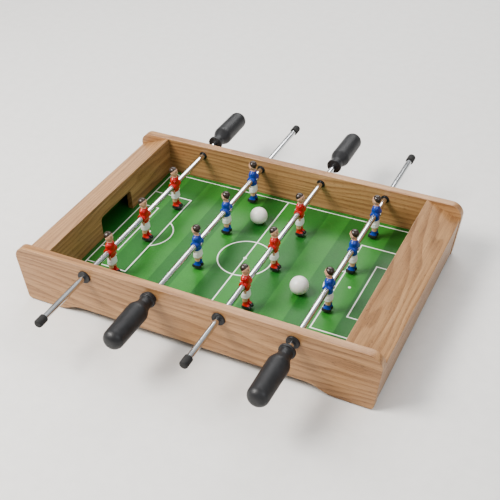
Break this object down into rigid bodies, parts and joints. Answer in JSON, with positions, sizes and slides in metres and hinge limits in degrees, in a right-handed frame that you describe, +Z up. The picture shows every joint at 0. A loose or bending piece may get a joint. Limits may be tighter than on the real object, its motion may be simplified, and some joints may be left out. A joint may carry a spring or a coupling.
{
  "type": "foosball table",
  "caption": "Tabletop foosball table: a wooden box with a green field, goals at both ends and sliding, spinning rods that carry the players.",
  "frame": {"origin": "on the surface that the table stands on, under the centre of the box", "axes": "+X along the table to the right-hand goal, +Y to the back, along the rods, +Z up"},
  "size_m": [0.5078, 0.559, 0.1001],
  "materials": {
    "wood_grain_board": "wood-grain foil on fibreboard, satin",
    "field_print": "green printed foil with white pitch lines on thin fibreboard",
    "beech_dowel": "plain beech",
    "pad_rubber": "matt rubber",
    "bushing_plastic": "moulded black plastic",
    "rod_chrome": "chrome-plated steel tube",
    "screw_steel": "zinc-plated steel",
    "cap_rubber": "matt rubber",
    "handle_plastic": "moulded black plastic, fine texture",
    "player_red": "moulded plastic, red kit with painted details",
    "player_blue": "moulded plastic, blue kit with painted details",
    "ball_plastic": "white moulded plastic"
  },
  "bodies": {
    "table": {"playing_field": "field_print", "foot_pads": "pad_rubber", "goal_wall_left": "wood_grain_board", "end_board_left": "wood_grain_board", "pocket_deck_left": "wood_grain_board", "goal_wall_right": "wood_grain_board", "end_board_right": "wood_grain_board", "pocket_deck_right": "wood_grain_board", "goal_wall_dowels": "beech_dowel", "end_board_dowels": "beech_dowel", "side_panel_front": "wood_grain_board", "bushing_front_1": "bushing_plastic", "bushing_front_2": "bushing_plastic", "bushing_front_3": "bushing_plastic", "bushing_front_4": "bushing_plastic", "side_panel_back": "wood_grain_board", "bushing_back_1": "bushing_plastic", "bushing_back_2": "bushing_plastic", "bushing_back_3": "bushing_plastic", "bushing_back_4": "bushing_plastic"},
    "rod_slide_1": {"rod_end_cap_1": "cap_rubber"},
    "rod_set_1": {"rod_1": "rod_chrome", "handle_1": "handle_plastic", "player_screws_1": "screw_steel", "player_1_1": "player_red", "player_1_2": "player_red", "player_1_3": "player_red"},
    "rod_slide_2": {"rod_end_cap_2": "cap_rubber"},
    "rod_set_2": {"rod_2": "rod_chrome", "handle_2": "handle_plastic", "player_screws_2": "screw_steel", "player_2_1": "player_blue", "player_2_2": "player_blue", "player_2_3": "player_blue"},
    "rod_slide_3": {"rod_end_cap_3": "cap_rubber"},
    "rod_set_3": {"rod_3": "rod_chrome", "handle_3": "handle_plastic", "player_screws_3": "screw_steel", "player_3_1": "player_red", "player_3_2": "player_red", "player_3_3": "player_red"},
    "rod_slide_4": {"rod_end_cap_4": "cap_rubber"},
    "rod_set_4": {"rod_4": "rod_chrome", "handle_4": "handle_plastic", "player_screws_4": "screw_steel", "player_4_1": "player_blue", "player_4_2": "player_blue", "player_4_3": "player_blue"},
    "rolling_ball_1": {"ball_1": "ball_plastic"},
    "rolling_ball_2": {"ball_2": "ball_plastic"}
  },
  "joints": [
    {"name": "rod_1_slide", "type": "slide", "parent": "table", "child": "rod_slide_1", "axis": [0, 1, 0], "range_m": [-0.023, 0.077]},
    {"name": "rod_1_spin", "type": "hinge", "parent": "rod_slide_1", "child": "rod_set_1", "pos_m": [-0.145, 0, 0.0707], "axis": [0, 1, 0], "continuous": true},
    {"name": "rod_2_slide", "type": "slide", "parent": "table", "child": "rod_slide_2", "axis": [0, -1, 0], "range_m": [-0.001, 0.099]},
    {"name": "rod_2_spin", "type": "hinge", "parent": "rod_slide_2", "child": "rod_set_2", "pos_m": [-0.0477, 0, 0.0707], "axis": [0, 1, 0], "continuous": true},
    {"name": "rod_3_slide", "type": "slide", "parent": "table", "child": "rod_slide_3", "axis": [0, 1, 0], "range_m": [-0.035, 0.065]},
    {"name": "rod_3_spin", "type": "hinge", "parent": "rod_slide_3", "child": "rod_set_3", "pos_m": [0.0477, 0, 0.0707], "axis": [0, 1, 0], "continuous": true},
    {"name": "rod_4_slide", "type": "slide", "parent": "table", "child": "rod_slide_4", "axis": [0, -1, 0], "range_m": [-0.012, 0.088]},
    {"name": "rod_4_spin", "type": "hinge", "parent": "rod_slide_4", "child": "rod_set_4", "pos_m": [0.145, 0, 0.0707], "axis": [0, 1, 0], "continuous": true},
    {"name": "ball_1_roll", "type": "slide", "parent": "table", "child": "rolling_ball_1", "axis": [0, 1, 0], "range_m": [-0.103, 0.177]},
    {"name": "ball_2_roll", "type": "slide", "parent": "table", "child": "rolling_ball_2", "axis": [0, 1, 0], "range_m": [-0.222, 0.058]}
  ]
}
